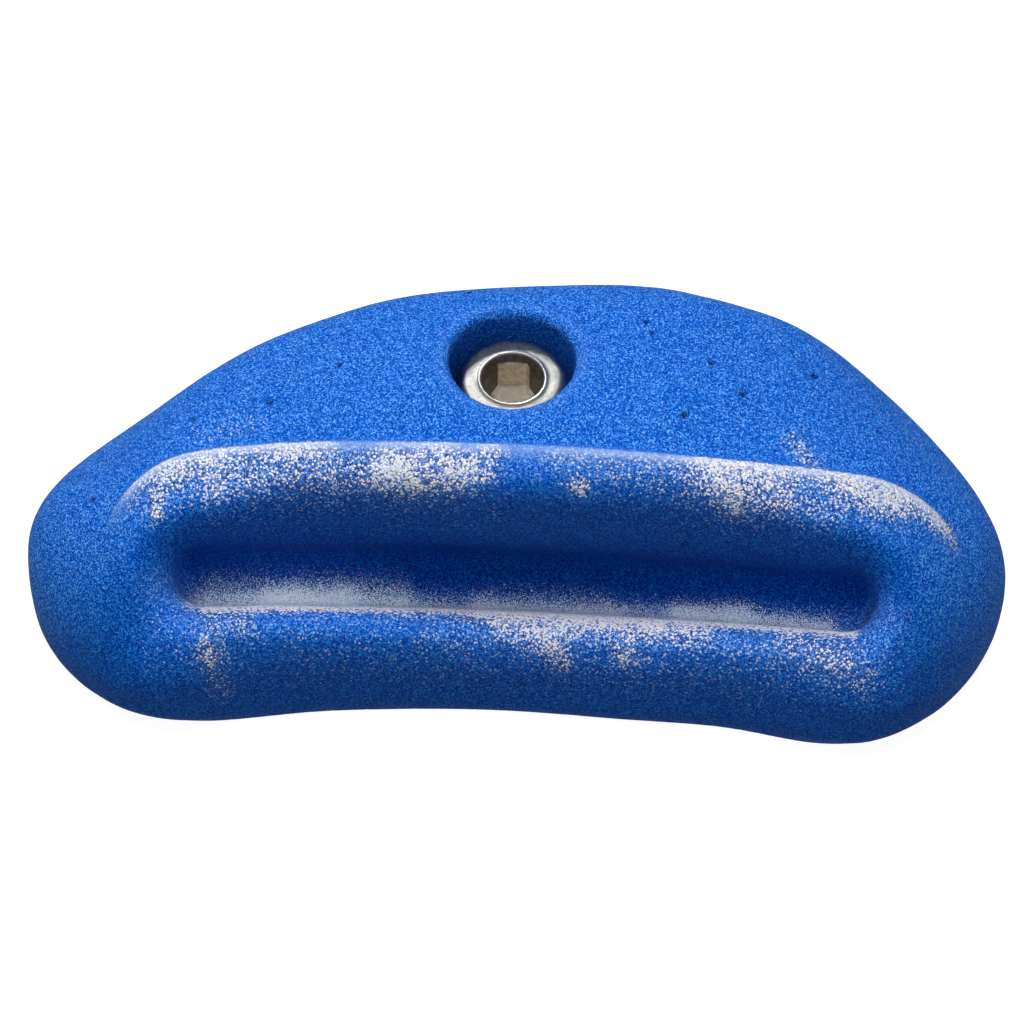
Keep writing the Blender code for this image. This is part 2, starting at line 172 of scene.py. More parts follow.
def with_pocket(x, yz):
    v, height = across(yz), out_of(yz)
    du, dv = from_pocket_line(x, v)
    level = (v - dv)[0]
    turn = int(np.argmax(v))
    order = np.argsort(v[: turn + 1])
    mouth = float(np.interp(level, v[: turn + 1][order], height[: turn + 1][order]))
    side = np.hypot(du, dv) - POCKET_HALF
    floor = mouth - POCKET_DEPTH + POCKET_FLOOR_SLOPE * dv

    def outside(w):
        wall = -(side - POCKET_DRAFT * (w - floor))
        cut = -round_max(-wall, -(w - floor) * 0.9, POCKET_FILLET)
        return round_max((w - height) * 0.85, cut, POCKET_RIM)

    low, high = height - 30.0, height + 1.0
    for _ in range(40):
        half = (low + high) / 2
        inside = outside(half) < 0
        low, high = np.where(inside, half, low), np.where(inside, high, half)
    w = np.where(np.arange(len(v)) <= turn, np.minimum((low + high) / 2, height), height)
    s, c = math.sin(POCKET_TILT), math.cos(POCKET_TILT)
    return np.column_stack([v * s - w * c, v * c + w * s])


def stations(ends, slot_ends, middle):
    left, right = ((edge - MIDDLE) / HALF_LENGTH for edge in (-55, 59))
    runs = (
        MIDDLE + HALF_LENGTH * np.sin(np.linspace(-math.pi / 2, math.asin(left), ends)),
        np.linspace(-55, -34, slot_ends)[1:],
        np.linspace(-34, 38, middle)[1:],
        np.linspace(38, 59, slot_ends)[1:],
        (MIDDLE + HALF_LENGTH * np.sin(np.linspace(math.asin(right), math.pi / 2, ends)))[1:],
    )
    return np.concatenate(runs)


def section(x, counts, knots, fine=900):
    at = np.linspace(0, knots[-1], fine)
    blank = blank_section(x, at, knots)
    v = across(blank)
    du, dv = from_pocket_line(x, v)
    level, gap = (v - dv)[0], abs(du)
    turn = int(np.argmax(v)) + 1
    lip = np.interp(level - math.sqrt(max(121.0 - min(gap, 9.0) ** 2, 0)), v[:turn], at[:turn])
    ridge = level + math.sqrt(max(crest_reach(x) ** 2 - min(gap, 13.0) ** 2, 0)) / 0.98
    ridge = np.interp(ridge, v[:turn], at[:turn])
    away = smooth((gap - 6) / 14)
    marks = (lip + (at[-1] * 0.155 - lip) * away, ridge + (at[-1] * 0.40 - ridge) * away)
    yz = with_pocket(x, with_crest(x, blank))
    yz[:, 1] = np.maximum(yz[:, 1], 0)
    run = np.concatenate([[0], np.cumsum(np.linalg.norm(np.diff(yz, axis=0), axis=1))])
    ends = [0.0, *(float(np.interp(mark, at, run)) for mark in marks), run[-1]]
    pick = np.concatenate(
        [np.linspace(ends[i], ends[i + 1], counts[i] + 1)[(i > 0) :] for i in range(3)]
    )
    return np.column_stack([np.interp(pick, run, yz[:, 0]), np.interp(pick, run, yz[:, 1])])


# --------------------------------------------------------------------------------------------------
# Mesh helpers
# --------------------------------------------------------------------------------------------------
def link(name, data):
    thing = bpy.data.objects.new(name, data)
    bpy.context.scene.collection.objects.link(thing)
    return thing


def mesh_from(name, verts, faces):
    data = bpy.data.meshes.new(name)
    data.from_pydata(verts, [], faces)
    data.update()
    return data


def loft():
    """Closed body: one ring of points per station and a point at each tip, 3 mm too deep at the back."""
    knots = section_knots()
    places = stations(22, 64, 60)
    verts, faces = [], []
    for x, y in ((places[0], FRONT_EDGE[0]), (places[-1], FRONT_EDGE[-1])):
        verts.append(((x - MIDDLE) * MM, (y + SHAPE_Y) * MM, CROWN[0] * MM))
    rings = []
    for x in places[1:-1]:
        yz = section(float(x), (24, 120, 84), knots)
        below = 3.0 if max(yz[0, 1], yz[-1, 1]) < 0.01 else 0.0
        yz = np.vstack([yz[0] - (0.0, below), yz, yz[-1] - (0.0, below)])
        rings.append(list(range(len(verts), len(verts) + len(yz))))
        verts.extend(((x - MIDDLE) * MM, (y + SHAPE_Y) * MM, z * MM) for y, z in yz)
    count = len(rings[0])
    for near, far in zip(rings, rings[1:]):
        for j in range(count):
            k = (j + 1) % count
            faces.append((near[j], far[j], far[k], near[k]))
    for j in range(count):
        k = (j + 1) % count
        faces.append((0, rings[0][j], rings[0][k]))
        faces.append((1, rings[-1][k], rings[-1][j]))
    return mesh_from("loft", verts, faces)


def turned_mesh(name, profile, segments, at=(0, 0)):
    """Closed body turned about a vertical axis from (radius, height) points in millimetres."""
    verts, faces, columns = [], [], []
    for radius, z in profile:
        if radius < 1e-6:
            columns.append([len(verts)])
            verts.append((at[0] * MM, at[1] * MM, z * MM))
            continue
        columns.append(list(range(len(verts), len(verts) + segments)))
        for i in range(segments):
            a = 2 * math.pi * i / segments
            verts.append(((at[0] + radius * math.cos(a)) * MM, (at[1] + radius * math.sin(a)) * MM, z * MM))
    pairs = list(zip(columns, columns[1:]))
    if profile[0][0] > 1e-6:
        pairs.append((columns[-1], columns[0]))
    for low, high in pairs:
        for i in range(segments):
            k = (i + 1) % segments
            corners = [low[i % len(low)], low[k % len(low)], high[k % len(high)], high[i % len(high)]]
            unique = list(dict.fromkeys(corners))
            if len(unique) > 2:
                faces.append(unique)
    return mesh_from(name, verts, faces)


def arc(centre_r, centre_z, wide, high, start, end, steps):
    angles = np.radians(np.linspace(start, end, steps + 1))
    return [(centre_r + wide * math.cos(a), centre_z + high * math.sin(a)) for a in angles]


def evaluated_copy(thing, name):
    graph = bpy.context.evaluated_depsgraph_get()
    return bpy.data.meshes.new_from_object(thing.evaluated_get(graph), depsgraph=graph)


def points_of(data):
    co = np.empty(len(data.vertices) * 3, np.float32)
    data.vertices.foreach_get("co", co)
    return co.reshape(-1, 3).astype(np.float64)


def normals_of(data):
    co = np.empty(len(data.vertices) * 3, np.float32)
    data.vertices.foreach_get("normal", co)
    return co.reshape(-1, 3).astype(np.float64)


def set_points(data, co):
    data.vertices.foreach_set("co", co.astype(np.float32).ravel())
    data.update()


def edges_of(data):
    ends = np.empty(len(data.edges) * 2, np.int32)
    data.edges.foreach_get("vertices", ends)
    return ends.reshape(-1, 2)


def relax(co, ends, rounds, keep, push=-0.53):
    """Smooths without shrinking: each round pulls points in and then pushes them back out."""
    count = np.bincount(ends.ravel(), minlength=len(co)).astype(float)[:, None]
    for _ in range(rounds):
        for step in (0.5, push):
            total = np.zeros_like(co)
            for axis in range(3):
                total[:, axis] = np.bincount(ends[:, 0], co[ends[:, 1], axis], len(co))
                total[:, axis] += np.bincount(ends[:, 1], co[ends[:, 0], axis], len(co))
            co = co + step * keep[:, None] * (total / count - co)
    return co


def add_attribute(data, name, values):
    attribute = data.attributes.new(name, "FLOAT", "POINT")
    attribute.data.foreach_set("value", np.asarray(values, np.float32))


# --------------------------------------------------------------------------------------------------
# Smooth random fields on points, in numpy: value noise with a quintic blend
# --------------------------------------------------------------------------------------------------
def lattice(i, j, k, seed):
    h = (i * 374761393 + j * 668265263 + k * 2147483647 + seed * 974634777) & 0xFFFFFFFF
    h = (h ^ (h >> 13)) * 1274126177 & 0xFFFFFFFF
    h = (h ^ (h >> 16)) * 2246822519 & 0xFFFFFFFF
    return ((h ^ (h >> 15)) & 0xFFFFFF) / float(0xFFFFFF) * 2 - 1


def field(co, wavelength, seed):
    """Smooth noise in about -1..1 with cells this wide; co and wavelength are in millimetres."""
    p = co / wavelength + 1000.0
    cell = np.floor(p).astype(np.int64)
    f = p - cell
    f = f * f * f * (f * (6 * f - 15) + 10)
    total = np.zeros(len(co))
    for a in (0, 1):
        for b in (0, 1):
            for c in (0, 1):
                weight = (
                    (f[:, 0] if a else 1 - f[:, 0])
                    * (f[:, 1] if b else 1 - f[:, 1])
                    * (f[:, 2] if c else 1 - f[:, 2])
                )
                total += weight * lattice(cell[:, 0] + a, cell[:, 1] + b, cell[:, 2] + c, seed)
    return total


# --------------------------------------------------------------------------------------------------
# Hold body
# --------------------------------------------------------------------------------------------------
def recess_profile():
    centre = RECESS_RADIUS + RIM_RADIUS
    flare = [
        (centre - RIM_RADIUS * math.cos(a), RIM_Z - RIM_RADIUS + 0.05 + RIM_RADIUS * math.sin(a))
        for a in np.radians(np.linspace(0, 72, 10))
    ]
    end_r, end_z = flare[-1]
    groove_low = SEAT_Z - RING_THICK - GAP
    return [
        (0.0, -8.0), (BORE_RADIUS, -8.0), (BORE_RADIUS, groove_low),
        (RING_OUTER + GAP, groove_low), (RING_OUTER + GAP, SEAT_Z + GAP),
        (RECESS_RADIUS, SEAT_Z + GAP), *flare,
        (end_r + 6 * math.sin(math.radians(72)), end_z + 6 * math.cos(math.radians(72))),
        (end_r + 6, RIM_Z + 12.0), (0.0, RIM_Z + 12.0),
    ]


# casting pinholes: place in the frame and depth, in millimetres
PINHOLES = (
    (-25.3, 7.1, 40.5, 0.6), (-34.6, 2.2, 37.3, 0.7), (17.6, 15.6, 43.1, 0.6), (27.0, 8.8, 41.9, 0.75),
    (31.1, 4.0, 40.8, 0.75), (23.1, -1.1, 41.6, 0.75), (41.6, 10.3, 38.5, 0.65), (24.3, -12.3, 27.0, 0.6),
    (18.3, 13.4, 43.0, 0.35), (-8.0, 22.0, 41.0, 0.35), (-45.0, 0.5, 33.5, 0.4), (50.5, 3.0, 34.5, 0.4),
    (2.0, -25.3, 8.0, 0.45), (-56.0, -8.5, 23.0, 0.4), (60.0, -10.0, 25.0, 0.4), (12.0, 28.5, 25.0, 0.5),
    (-22.0, 24.0, 20.0, 0.5), (34.0, 27.0, 16.0, 0.45),
)

# chalk left by hands: x and distance across the pocket at both ends of each stroke, its width and how
# much of the surface it covers; millimetres in the outlines' own x and from the pocket's centre line
CHALK = (
    (-54.5, 12.5, -46.0, 14.0, 1.7, 0.45), (-47.5, 13.5, -41.0, 16.0, 1.6, 0.60), (-41.0, 16.0, -30.5, 16.5, 1.6, 0.36),
    (-31.5, 16.5, -25.5, 16.0, 1.6, 0.58), (-38.5, 15.0, -17.5, 14.0, 2.8, 0.28), (-16.5, 13.5, -9.0, 15.5, 2.0, 0.72),
    (-15.0, 12.0, -12.0, 11.0, 1.7, 0.60), (-7.5, 11.5, -2.5, 15.5, 1.7, 0.55), (-8.0, 13.5, -3.0, 12.5, 1.8, 0.40),
    (-2.5, 15.5, 26.5, 16.0, 1.0, 0.20), (10.0, 11.0, 10.0, 11.0, 0.9, 0.85), (7.5, 13.0, 26.5, 13.0, 2.8, 0.14),
    (28.5, 15.5, 38.5, 15.8, 2.0, 0.78), (30.5, 12.5, 31.5, 11.0, 1.7, 0.60), (36.0, 13.0, 38.0, 11.5, 1.4, 0.50),
    (26.5, 16.0, 35.0, 16.0, 1.4, 0.50), (39.5, 20.5, 42.0, 17.8, 1.8, 0.42), (42.0, 17.5, 47.5, 16.0, 1.7, 0.75),
    (46.5, 15.5, 53.5, 13.0, 2.2, 0.74), (53.0, 15.0, 61.0, 11.0, 1.7, 0.65), (61.0, 11.5, 63.0, 8.5, 1.1, 0.40),
    (-48.5, 10.0, -48.5, 7.0, 1.0, 0.55), (-40.5, 13.5, -40.0, 10.5, 1.3, 0.35), (-43.0, 19.0, -36.5, 20.5, 2.0, 0.24),
    (-54.0, 9.5, -42.5, 12.0, 2.5, 0.15), (-52.5, 11.0, -3.5, 11.5, 3.5, 0.16), (26.0, 12.0, 50.0, 12.5, 3.2, 0.16),
    (-43.5, -3.4, -29.5, -2.8, 1.5, 0.72), (-33.5, -2.9, -23.0, -2.6, 1.5, 0.95), (-23.0, -2.7, -15.0, -3.5, 1.5, 0.70),
    (-15.0, -3.3, -3.5, -3.8, 1.4, 0.50), (-3.5, -3.0, 27.0, -3.0, 1.2, 0.42), (-3.5, -4.7, 15.0, -4.7, 1.3, 0.90),
    (0.0, -6.5, 6.0, -8.0, 1.6, 0.62), (6.5, -9.0, 8.5, -11.5, 1.4, 0.45), (8.5, -6.0, 14.0, -5.0, 1.7, 0.80),
    (17.0, -5.0, 21.5, -5.5, 1.4, 0.90), (17.0, -8.0, 17.5, -10.5, 1.4, 0.50), (21.5, -6.0, 27.5, -6.0, 1.7, 0.55),
    (25.0, -3.1, 33.5, -2.5, 1.5, 0.85), (33.5, -3.1, 45.5, -3.3, 1.4, 0.70), (40.0, -6.5, 46.0, -9.0, 2.4, 0.27),
    (46.0, -8.0, 50.0, -11.5, 2.0, 0.20), (-40.5, -6.0, -40.5, -11.0, 1.4, 0.34), (-41.5, -11.0, -39.5, -15.5, 1.5, 0.28),
    (-37.0, -5.5, -36.0, -8.0, 1.3, 0.35), (-42.0, -0.5, -15.5, -1.0, 2.0, 0.33), (-2.5, -1.1, 13.5, -1.0, 1.4, 0.14),
    (-9.0, -7.5, 50.0, -7.0, 3.5, 0.13), (-42.0, -4.6, 49.0, -4.5, 0.6, 0.98),
    (-40.0, 12.0, -9.0, 11.8, 2.2, 0.24), (31.0, 11.5, 45.0, 11.0, 2.4, 0.24), (8.0, 14.0, 29.0, 14.0, 2.2, 0.20),
)


def rim_lift(x, y):
    """How far the recess's rim stands above RIM_Z at a place measured from the bolt's axis."""
    return RIM_LEAN_X * x + RIM_LEAN_Y * y + RIM_DIP * (x * x - y * y)


def recess_mesh():
    data = turned_mesh("recess_tool", recess_profile(), 144, (BOLT_X, BOLT_Y))
    co = points_of(data) / MM
    high = co[:, 2] > RIM_Z - RIM_RADIUS
    co[high, 2] += rim_lift(co[high, 0] - BOLT_X, co[high, 1] - BOLT_Y)
    set_points(data, co * MM)
    return data


def hold_body():
    body = link("body_blank", loft())
    cutter = link("recess_tool", recess_mesh())
    for kind in ("BOOLEAN", "REMESH"):
        modifier = body.modifiers.new(kind.lower(), kind)
        if kind == "BOOLEAN":
            modifier.operation, modifier.solver, modifier.object = "DIFFERENCE", "EXACT", cutter
        else:
            modifier.mode, modifier.voxel_size, modifier.adaptivity = "VOXEL", VOXEL * MM, 0.0
    data = evaluated_copy(body, "hold_body_cast")
    for thing in (body, cutter):
        bpy.data.objects.remove(thing, do_unlink=True)
    data.name = "hold_body_cast"

    co = points_of(data)
    ends = edges_of(data)
    co = relax(co, ends, 5, np.ones(len(co)))
    set_points(data, co)
    return cut_flat(data)


def cut_flat(data):
    """The body above its back plane, closed there with a flat face."""
    mesh = bmesh.new()
    mesh.from_mesh(data)
    cut = bmesh.ops.bisect_plane(
        mesh, geom=mesh.verts[:] + mesh.edges[:] + mesh.faces[:], dist=1e-7,
        plane_co=(0, 0, 0), plane_no=(0, 0, 1), clear_inner=True,
    )["geom_cut"]
    bmesh.ops.triangle_fill(mesh, edges=[e for e in cut if isinstance(e, bmesh.types.BMEdge)], use_beauty=True)
    bmesh.ops.recalc_face_normals(mesh, faces=mesh.faces[:])
    mesh.to_mesh(data)
    mesh.free()
    data.update()
    return data


def sink_pinholes(co, normal):
    """Draws the points of the mesh inwards around each pinhole; returns where they are."""
    tree = kdtree.KDTree(len(co))
    for index, place in enumerate(co):
        tree.insert(place, index)
    tree.balance()
    pits = np.zeros(len(co))
    depth = np.zeros(len(co))
    for x, y, z, deep in PINHOLES:
        middle, index, _ = tree.find((x, y, z))
        for _, beside, gap in tree.find_range(middle, 0.75):
            share = 1.0 - float(smooth(gap / (0.42 + 0.5 * deep)))
            depth[beside] = max(depth[beside], deep * share)
            pits[beside] = max(pits[beside], min(1.6 * share, 1.0))
    return co - normal * depth[:, None], pits


def finish_surface(data):
    """Shallow unevenness of a hand-shaped master, and what the material reads from the surface."""
    co, normal = points_of(data) / MM, normals_of(data)
    radius = np.hypot(co[:, 0] - BOLT_X, co[:, 1] - BOLT_Y)
    rim = RIM_Z + rim_lift(co[:, 0] - BOLT_X, co[:, 1] - BOLT_Y)
    in_recess = (radius < RECESS_RADIUS + 0.35) & (co[:, 2] < rim - 0.75)
    back = co[:, 2] < 0.05
    outside = 1.0 - np.clip(in_recess.astype(float) + back, 0, 1)
    outside *= smooth(co[:, 2] / 2.0)
    swell = 0.10 * field(co, 11.0, 3) + 0.05 * field(co, 5.0, 7) + 0.022 * field(co, 1.7, 11)
    co = co + normal * (swell * outside)[:, None]
    co[:, 2] = np.maximum(co[:, 2], 0.0)
    chalk, dust_and_highlight = chalk_on(co, normal), dust_and_highlight_on(co, radius)
    co, pits = sink_pinholes(co, normal)
    set_points(data, co * MM)
    add_attribute(data, "recess", smooth((RECESS_RADIUS + 0.9 - radius) / 0.7) * smooth((rim - 0.4 - co[:, 2]) / 3.2))
    add_attribute(data, "back", back.astype(float))
    add_attribute(data, "chalk", chalk)
    add_attribute(data, "dust_and_highlight", dust_and_highlight)
    add_attribute(data, "pit", pits)
    add_attribute(data, "deep", pocket_shade_on(co))
    add_attribute(data, "powder", powder_on(co))
    # front: surfaces facing forward, whose blue the material darkens as painted shade
    add_attribute(data, "front", smooth((-normal[:, 1] - 0.38) / 0.5) * (radius > RECESS_RADIUS + 1.5))
    return data


def from_ledge(x, du, dv, z):
    """Distance beyond the ledge above the roll, and how much of a ledge there is at each point."""
    past = np.hypot(du, dv * 0.98) - spline(CREST_PLACES, CREST_REACH, np.clip(x, CREST_PLACES[0], CREST_PLACES[-1]))
    share = smooth((np.degrees(np.arctan2(dv, np.abs(du))) - 15) / 35) * smooth((z - 8) / 10)
    return past, share


def chalk_on(co, normal):
    """How much of the surface chalk covers at each point, 0 to 1."""
    x, y, z = co[:, 0] + MIDDLE, co[:, 1] - SHAPE_Y, co[:, 2]
    du, dv = from_pocket_line(x, across(np.column_stack([y, z])))
    past, share = from_ledge(x, du, dv, z)
    below = 1 - 0.93 * share * smooth((past + 0.35) / 0.55)
    free = np.ones(len(co))
    for x0, d0, x1, d1, width, amount in CHALK:
        run_x, run_d = x1 - x0, d1 - d0
        t = np.clip(((x - x0) * run_x + (dv - d0) * run_d) / max(run_x**2 + run_d**2, 1e-6), 0, 1)
        away = np.hypot(x - x0 - t * run_x, dv - d0 - t * run_d) / (1.2 * width)
        kept = 1.0 if min(d0, d1) > 17.5 else below
        free *= 1 - 0.9 * amount * np.exp(-(away**2)) * kept
    roll = smooth((16.0 - dv) / 5.0) * smooth((dv - 2.0) / 6.0)
    lip = smooth((1.5 - dv) / 3.5) * smooth((dv + 22.0) / 14.0)
    free *= 1 - (0.05 * roll + 0.16 * lip) * smooth((14.0 - np.abs(du)) / 10.0)
    towards = normal[:, 2] * math.sin(POCKET_TILT) - normal[:, 1] * math.cos(POCKET_TILT)
    return (1 - free) * smooth((towards + 0.25) / 0.4) * smooth(z / 4.0)


def pocket_shade_on(co):
    """Inside of the pocket, where little light and no hand reaches; the material darkens it there as painted shade: 0
    to 1.
    """
    x, yz = co[:, 0] + MIDDLE, np.column_stack([co[:, 1] - SHAPE_Y, co[:, 2]])
    du, dv = from_pocket_line(x, across(yz))
    inside = smooth((dv + 5.0) / 2.5) * smooth((12.5 - dv) / 5.5) * smooth((6.5 - np.abs(du)) / 5.0)
    return inside * smooth((38.0 - out_of(yz)) / 14.0)


def powder_on(co):
    """Floor of the pocket behind the lip, where loose chalk gathers as fine powder: 0 to 1."""
    x, yz = co[:, 0] + MIDDLE, np.column_stack([co[:, 1] - SHAPE_Y, co[:, 2]])
    _, dv = from_pocket_line(x, across(yz))
    return smooth((dv + 4.9) / 0.9) * smooth((6.0 - dv) / 3.0)


def dust_and_highlight_on(co, radius):
    """Pale edges, part chalk dust and part painted highlight: the ledge above the roll and the mouth of the recess."""
    x, y, z = co[:, 0] + MIDDLE, co[:, 1] - SHAPE_Y, co[:, 2]
    du, dv = from_pocket_line(x, across(np.column_stack([y, z])))
    past, share = from_ledge(x, du, dv, z)
    ledge = share * smooth((0.15 - past) / 0.4) * np.exp(-((np.maximum(-past - 0.4, 0) / 1.5) ** 2))
    # pale band on the recess's mouth, partly dust and partly painted highlight
    rim = 0.14 * np.exp(-(((radius - RECESS_RADIUS - 1.3) / 0.7) ** 2)) * smooth((z - 38) / 3)
    return np.clip(ledge + rim, 0, 1)


# --------------------------------------------------------------------------------------------------
# Materials
# --------------------------------------------------------------------------------------------------
class Graph:
    """Small helper that builds a node material."""

    def __init__(self, name):
        self.material = bpy.data.materials.new(name)
        self.material.use_nodes = True
        self.nodes, self.links = self.material.node_tree.nodes, self.material.node_tree.links
        self.shader = self.nodes["Principled BSDF"]
        self.output = self.nodes["Material Output"]

    def new(self, kind, **sockets):
        node = self.nodes.new(kind)
        for key, value in sockets.items():
            self.put(node, key, value)
        return node

    def put(self, node, key, value):
        socket = node.inputs[key] if isinstance(key, (int, str)) else key
        if isinstance(value, bpy.types.NodeSocket):
            self.links.new(value, socket)
        else:
            socket.default_value = value

    def math(self, kind, a, b=0.0, c=None, clamp=False):
        node = self.nodes.new("ShaderNodeMath")
        node.operation, node.use_clamp = kind, clamp
        self.put(node, 0, a)
        self.put(node, 1, b)
        if c is not None:
            self.put(node, 2, c)
        return node.outputs[0]

    def ramp(self, value, low, high, to_low=0.0, to_high=1.0, kind="SMOOTHSTEP"):
        node = self.nodes.new("ShaderNodeMapRange")
        node.interpolation_type, node.clamp = kind, True
        for key, v in zip(("Value", "From Min", "From Max", "To Min", "To Max"), (value, low, high, to_low, to_high)):
            self.put(node, key, v)
        return node.outputs["Result"]

    def mix(self, factor, a, b, blend="MIX"):
        node = self.nodes.new("ShaderNodeMix")
        node.data_type, node.blend_type = "RGBA", blend
        self.put(node, 0, factor)
        self.put(node, 6, a if isinstance(a, bpy.types.NodeSocket) else (*a, 1.0))
        self.put(node, 7, b if isinstance(b, bpy.types.NodeSocket) else (*b, 1.0))
        return node.outputs[2]

    def noise(self, at, scale, detail=0.0, roughness=0.5, distortion=0.0, kind="3D"):
        node = self.nodes.new("ShaderNodeTexNoise")
        node.noise_dimensions = kind
        for key, v in (("Vector", at), ("Scale", scale), ("Detail", detail), ("Roughness", roughness), ("Distortion", distortion)):
            self.put(node, key, v)
        return node.outputs["Fac"]

    def voronoi(self, at, scale, feature="F1", smoothness=None, randomness=1.0):
        node = self.nodes.new("ShaderNodeTexVoronoi")
        node.feature = feature
        self.put(node, "Vector", at)
        self.put(node, "Scale", scale)
        self.put(node, "Randomness", randomness)
        if smoothness is not None:
            self.put(node, "Smoothness", smoothness)
        return node.outputs["Distance"]

    def bump(self, height, distance, strength=1.0, normal=None):
        node = self.nodes.new("ShaderNodeBump")
        self.put(node, "Height", height)
        self.put(node, "Distance", distance)
        self.put(node, "Strength", strength)
        if normal is not None:
            self.put(node, "Normal", normal)
        return node.outputs["Normal"]

    def jitter(self, at, scale, amount):
        """The coordinates, moved about by noise of this scale by up to half this many metres."""
        node = self.new("ShaderNodeTexNoise", Vector=at, Scale=scale, Detail=0.0)
        shift = self.nodes.new("ShaderNodeVectorMath")
        shift.operation = "MULTIPLY_ADD"
        self.put(shift, 0, node.outputs["Color"])
        shift.inputs[1].default_value = (amount, amount, amount)
        self.put(shift, 2, at)
        return shift.outputs[0]

    def attribute(self, name):
        node = self.nodes.new("ShaderNodeAttribute")
        node.attribute_name = name
        return node.outputs["Fac"]

    def coordinates(self, scale=None, rotation=None):
        at = self.nodes.new("ShaderNodeTexCoord").outputs["Object"]
        if scale is None and rotation is None:
            return at
        node = self.nodes.new("ShaderNodeMapping")
        self.put(node, "Vector", at)
        if scale is not None:
            node.inputs["Scale"].default_value = scale
        if rotation is not None:
            node.inputs["Rotation"].default_value = rotation
        return node.outputs[0]


def resin_material():
    g = Graph("cast_resin")
    at = g.coordinates(rotation=(0.6, 0.5, 0.4))
    cells = g.new("ShaderNodeTexVoronoi", Vector=g.jitter(at, 2900.0, 0.00022), Scale=2850.0)
    away = cells.outputs["Distance"]
    pick = g.new("ShaderNodeSeparateColor", Color=cells.outputs["Color"]).outputs["Red"]
    fine = g.noise(at, 4300.0, 0.0, 0.5, 0.3)
    worm = g.math("ABSOLUTE", g.math("SUBTRACT", g.noise(at, 3000.0, 0.0, 0.5, 0.6), 0.5))
    worm = g.math("SUBTRACT", 1.0, g.math("MULTIPLY", worm, 5.5), clamp=True)
    patch, broad = g.noise(at, 170.0, 2.0, 0.6, 0.3), g.noise(at, 55.0, 2.0, 0.5, 0.0)
    recess, back, pit, deep, front = (g.attribute(name) for name in ("recess", "back", "pit", "deep", "front"))
    chalk, dust_and_highlight, powder = g.attribute("chalk"), g.attribute("dust_and_highlight"), g.attribute("powder")

    grain = g.ramp(away, 0.25, 0.80, 1.0, 0.0, "LINEAR")
    height = g.math("ADD", g.math("MULTIPLY", grain, 0.25), g.math("MULTIPLY", worm, 0.35))
    height = g.math("ADD", height, g.ramp(fine, 0.25, 0.75, 0.0, 0.40, "LINEAR"))
    tone = g.ramp(height, 0.30, 0.70, kind="LINEAR")
    # grain colour follows height: part the resin's own grain, part painted shade in the hollows and painted highlight
    # on the tops
    blue = g.mix(g.ramp(tone, 0.0, 0.5, kind="LINEAR"), (0.001, 0.066, 0.50), (0.008, 0.162, 0.75))
    blue = g.mix(g.ramp(tone, 0.5, 1.0, kind="LINEAR"), blue, (0.060, 0.35, 1.0))
    # painted highlight: pale glints on the highest grain
    blue = g.mix(g.ramp(height, 0.62, 0.84, 0.0, 0.75), blue, (0.26, 0.50, 1.0))
    blue = g.mix(g.ramp(broad, 0.35, 0.65, 0.0, 0.08), blue, (0.010, 0.135, 0.62))
    # painted shade: forward-facing surfaces are darkened
    blue = g.mix(front, blue, (0.16, 0.66, 0.78), "MULTIPLY")
    # painted shade: the inside of the pocket is darkened
    blue = g.mix(g.math("MULTIPLY", deep, 0.8), blue, (0.06, 0.46, 0.62), "MULTIPLY")
    # painted shade: the walls of the bolt recess are darkened
    blue = g.mix(g.math("MULTIPLY", recess, 0.7), blue, (0.10, 0.45, 0.58), "MULTIPLY")
    # painted shade: the pinholes are filled with near-black
    blue = g.mix(g.math("MULTIPLY", pit, 0.97), blue, (0.001, 0.008, 0.06))

    # pale edges: chalk dust and painted highlight
    edge_dust_and_highlight = g.math("MULTIPLY", dust_and_highlight, g.ramp(tone, 0.1, 0.6, 0.65, 1.0))
    blue = g.mix(edge_dust_and_highlight, blue, (0.20, 0.41, 0.97))

    ragged = g.math("ADD", away, g.ramp(fine, 0.25, 0.75, -0.22, 0.22, "LINEAR"))
    reach = g.ramp(chalk, 0.0, 1.0, 0.46, 0.80, "LINEAR")
    dot = g.ramp(g.math("SUBTRACT", reach, ragged), -0.02, 0.20)
    share = g.math("MULTIPLY", chalk, g.ramp(patch, 0.3, 0.7, 0.8, 1.3, "LINEAR"))
    cover = g.math("MULTIPLY", dot, g.ramp(g.math("SUBTRACT", share, pick), -0.12, 0.12))
    cover = g.math("MULTIPLY", cover, g.ramp(chalk, 0.0, 0.5, 0.60, 1.0, "LINEAR"))
    cover = g.math("MULTIPLY", cover, g.ramp(chalk, 0.02, 0.08))
    film = g.math("MULTIPLY", g.math("POWER", chalk, 2.0), g.ramp(tone, 0.1, 0.7, 0.12, 0.85))
    film = g.math("MAXIMUM", film, g.ramp(chalk, 0.90, 1.0, 0.0, 0.85))
    packed = g.math("MULTIPLY", g.math("POWER", dust_and_highlight, 3.0), g.ramp(chalk, 0.08, 0.45, 0.0, 0.8))
    film = g.math("MAXIMUM", film, packed)
    specks = g.ramp(g.noise(at, 5600.0, 1.0, 0.6), 0.28, 0.72, -0.55, 0.55, "LINEAR")
    loose = g.math("MULTIPLY", g.ramp(g.math("ADD", chalk, specks), 0.42, 0.82, 0.0, 0.95), g.ramp(chalk, 0.0, 0.12))
    cover = g.math("ADD", g.math("MULTIPLY", cover, g.math("SUBTRACT", 1.0, powder)), g.math("MULTIPLY", loose, powder))
    film = g.math("MULTIPLY", film, g.math("SUBTRACT", 1.0, g.math("MULTIPLY", powder, 0.5)))
